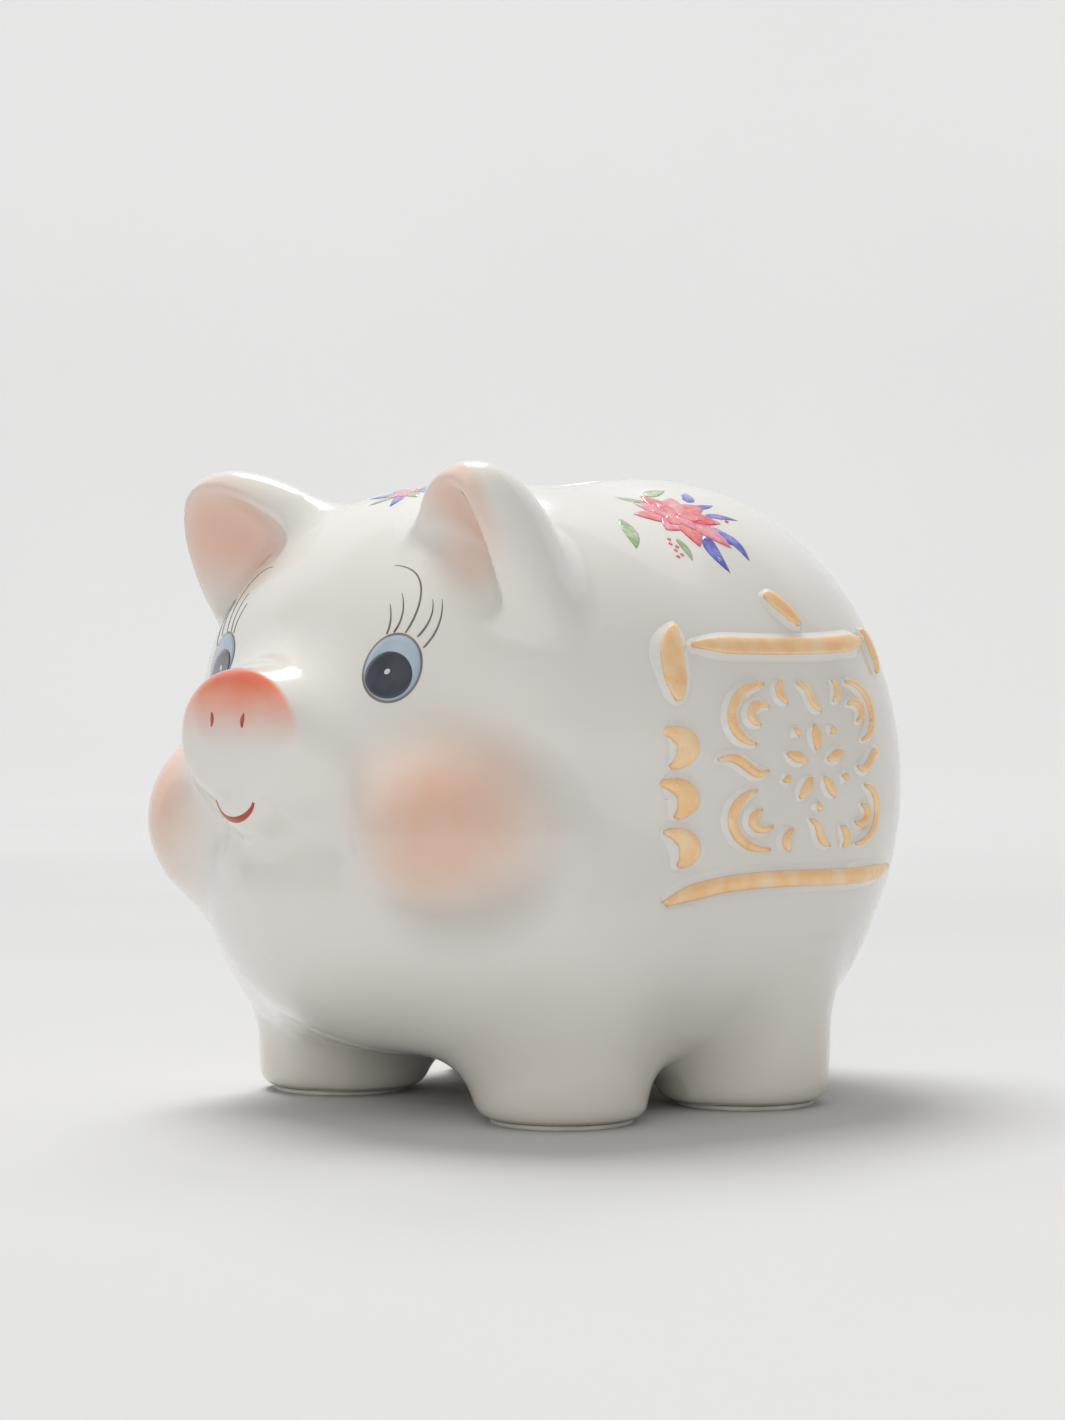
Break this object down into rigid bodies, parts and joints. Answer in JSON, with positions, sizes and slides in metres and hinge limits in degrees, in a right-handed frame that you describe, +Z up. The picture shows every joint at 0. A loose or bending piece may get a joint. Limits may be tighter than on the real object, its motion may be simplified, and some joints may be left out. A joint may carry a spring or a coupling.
{
  "type": "piggy_bank",
  "caption": "Hollow glazed ceramic piggy bank with leaf-shaped ears, stub legs, gilded scroll relief on the flanks, a coin slot in the back and a rubber stopper under the belly.",
  "frame": {"origin": "on the ground under the middle of the bounding box", "axes": "+Z up, +X the pig's left, the pig faces -Y"},
  "size_m": [0.1464, 0.2072, 0.1565],
  "materials": {
    "glaze": "glossy ivory white glaze over a cast clay body",
    "coral_glaze": "coral airbrushed glaze fading to ivory",
    "gilding": "bright gold lustre fired over raised strokes",
    "eye_enamel": "slate iris on pale blue, glossy enamel",
    "brown_enamel": "thin brown-grey painted lines",
    "red_enamel": "thin red painted lines",
    "rose_decal": "fired floral transfer, pink and green",
    "blue_decal": "fired floral transfer, blue violet",
    "stopper_rubber": "soft moulded rubber, matte",
    "pad_rubber": "off-white soft pad, matte"
  },
  "bodies": {
    "bank": {"body_shell": "glaze", "snout": "coral_glaze", "lower_lip": "glaze", "ear_left": "glaze", "ear_right": "glaze", "leg_front_left": "glaze", "leg_front_right": "glaze", "leg_rear_left": "glaze", "leg_rear_right": "glaze", "tail": "glaze", "relief_left": "gilding", "relief_right": "gilding", "eye_left": "eye_enamel", "eye_right": "eye_enamel", "lashes_left": "brown_enamel", "lashes_right": "brown_enamel", "smile": "red_enamel", "nostrils": "red_enamel", "flower_left": "rose_decal", "flower_right": "rose_decal", "flower_crown": "blue_decal", "pad_front_left": "pad_rubber", "pad_front_right": "pad_rubber", "pad_rear_left": "pad_rubber", "pad_rear_right": "pad_rubber"},
    "bung": {"stopper": "stopper_rubber"}
  },
  "joints": [
    {"name": "stopper_pull", "type": "slide", "parent": "bank", "child": "bung", "axis": [0, 0, -1], "range_m": [0, 0.03]}
  ]
}
